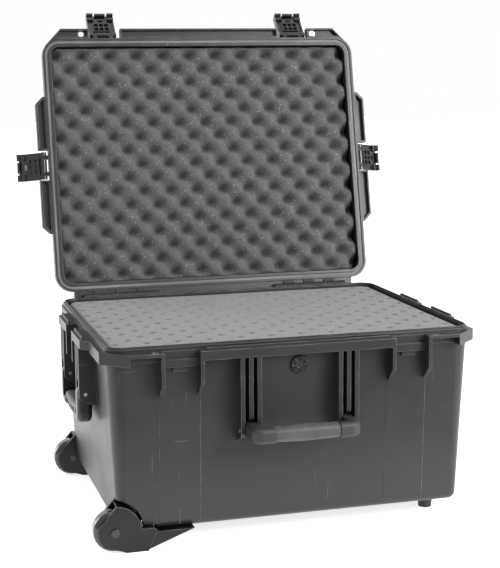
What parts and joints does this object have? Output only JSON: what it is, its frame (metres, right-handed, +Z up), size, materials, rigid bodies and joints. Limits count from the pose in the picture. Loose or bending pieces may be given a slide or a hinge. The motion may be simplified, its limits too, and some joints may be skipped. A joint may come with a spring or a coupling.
{
  "type": "hard equipment case",
  "caption": "Wheeled hard plastic equipment case with its lid open, foam filling, draw latches, folding carry handles and a sliding pull handle.",
  "frame": {"origin": "centre of the underside of the base, on the pull handle tray", "axes": "+Z up, -Y towards the latched front, +Y towards the hinge, -X towards the wheels, +X towards the pull handle"},
  "size_m": [0.7052, 0.6968, 0.8243],
  "materials": {
    "shell": "satin",
    "latch_plastic": "gloss",
    "handle_plastic": "satin",
    "grip_rubber": "matte",
    "housing_plastic": "satin",
    "tyre_rubber": "satin",
    "foot_rubber": "matte",
    "seal_rubber": "matte",
    "steel": "satin",
    "axle_steel": "satin",
    "tube_metal": "satin",
    "base_foam": "matte",
    "lid_foam": "matte"
  },
  "bodies": {
    "base": {"base_shell": "shell", "base_padlock_bushes": "steel", "foam_bottom_pad": "base_foam", "foam_block_lower": "base_foam", "foam_block_upper": "base_foam", "foam_top_pad": "base_foam", "foot_screws": "steel", "handle_pins": "steel", "hinge_pins": "steel", "pull_handle_tray": "handle_plastic", "rubber_feet": "foot_rubber", "tray_screws": "steel", "valve_body": "housing_plastic", "valve_nut": "housing_plastic", "wheel_axle_front": "axle_steel", "wheel_axle_rear": "axle_steel", "wheel_housing_front": "housing_plastic", "wheel_housing_rear": "housing_plastic", "wheel_housing_screws_front": "steel", "wheel_housing_screws_rear": "steel"},
    "lid": {"lid_shell": "shell", "lid_gasket": "seal_rubber", "lid_foam": "lid_foam", "lid_padlock_bushes": "steel", "latch_pins": "steel"},
    "latch_front_left": {"latch_front_left": "latch_plastic"},
    "latch_button_front_left": {"latch_button_front_left": "latch_plastic"},
    "latch_front_right": {"latch_front_right": "latch_plastic"},
    "latch_button_front_right": {"latch_button_front_right": "latch_plastic"},
    "latch_left": {"latch_left": "latch_plastic"},
    "latch_button_left": {"latch_button_left": "latch_plastic"},
    "latch_right": {"latch_right": "latch_plastic"},
    "latch_button_right": {"latch_button_right": "latch_plastic"},
    "handle_front": {"handle_frame_front": "handle_plastic", "handle_grip_front": "grip_rubber"},
    "handle_left": {"handle_frame_left": "handle_plastic", "handle_grip_left": "grip_rubber"},
    "handle_right": {"handle_frame_right": "handle_plastic", "handle_grip_right": "grip_rubber"},
    "wheel_front": {"wheel_hub_front": "housing_plastic", "wheel_tyre_front": "tyre_rubber"},
    "wheel_rear": {"wheel_hub_rear": "housing_plastic", "wheel_tyre_rear": "tyre_rubber"},
    "pull_handle": {"pull_handle_tubes": "tube_metal", "pull_handle_grip": "handle_plastic"},
    "pull_handle_button": {"pull_handle_button": "handle_plastic"}
  },
  "joints": [
    {"name": "lid_hinge", "type": "hinge", "parent": "base", "child": "lid", "pos_m": [0, 0.2456, 0.2845], "axis": [1, 0, 0], "range_deg": [0, 102.4]},
    {"name": "latch_front_left_pivot", "type": "hinge", "parent": "lid", "child": "latch_front_left", "pos_m": [-0.1835, 0.36697, 0.75501], "axis": [1, 0, 0], "range_deg": [0, 120]},
    {"name": "latch_button_front_left_press", "type": "slide", "parent": "latch_front_left", "child": "latch_button_front_left", "axis": [0, -0.7385, 0.6743], "range_m": [0, 0.003], "stiffness_N_per_m": 300, "springref_m": -0.002},
    {"name": "latch_front_right_pivot", "type": "hinge", "parent": "lid", "child": "latch_front_right", "pos_m": [0.1835, 0.36697, 0.75501], "axis": [1, 0, 0], "range_deg": [0, 120]},
    {"name": "latch_button_front_right_press", "type": "slide", "parent": "latch_front_right", "child": "latch_button_front_right", "axis": [0, -0.7385, 0.6743], "range_m": [0, 0.003], "stiffness_N_per_m": 300, "springref_m": -0.002},
    {"name": "latch_left_pivot", "type": "hinge", "parent": "lid", "child": "latch_left", "pos_m": [-0.306, 0.31543, 0.52061], "axis": [0, 0.2147, 0.9767], "range_deg": [0, 120]},
    {"name": "latch_button_left_press", "type": "slide", "parent": "latch_left", "child": "latch_button_left", "axis": [-0.5, -0.8458, 0.186], "range_m": [0, 0.003], "stiffness_N_per_m": 300, "springref_m": -0.002},
    {"name": "latch_right_pivot", "type": "hinge", "parent": "lid", "child": "latch_right", "pos_m": [0.306, 0.31543, 0.52061], "axis": [0, -0.2147, -0.9767], "range_deg": [0, 120]},
    {"name": "latch_button_right_press", "type": "slide", "parent": "latch_right", "child": "latch_button_right", "axis": [0.5, -0.8458, 0.186], "range_m": [0, 0.003], "stiffness_N_per_m": 300, "springref_m": -0.002},
    {"name": "handle_front_pivot", "type": "hinge", "parent": "base", "child": "handle_front", "pos_m": [0, -0.24, 0.153], "axis": [1, 0, 0], "range_deg": [0, 90]},
    {"name": "handle_left_pivot", "type": "hinge", "parent": "base", "child": "handle_left", "pos_m": [-0.306, 0, 0.191], "axis": [0, 1, 0], "range_deg": [0, 90]},
    {"name": "handle_right_pivot", "type": "hinge", "parent": "base", "child": "handle_right", "pos_m": [0.306, 0, 0.191], "axis": [0, -1, 0], "range_deg": [0, 90]},
    {"name": "wheel_front_spin", "type": "hinge", "parent": "base", "child": "wheel_front", "pos_m": [-0.287, -0.2072, 0.005], "axis": [0, 1, 0], "continuous": true},
    {"name": "wheel_rear_spin", "type": "hinge", "parent": "base", "child": "wheel_rear", "pos_m": [-0.287, 0.2072, 0.005], "axis": [0, 1, 0], "continuous": true},
    {"name": "pull_handle_slide", "type": "slide", "parent": "base", "child": "pull_handle", "axis": [1, 0, 0], "range_m": [0, 0.38]},
    {"name": "pull_handle_button_press", "type": "slide", "parent": "pull_handle", "child": "pull_handle_button", "axis": [-1, 0, 0], "range_m": [0, 0.0026], "stiffness_N_per_m": 400, "springref_m": -0.002}
  ]
}
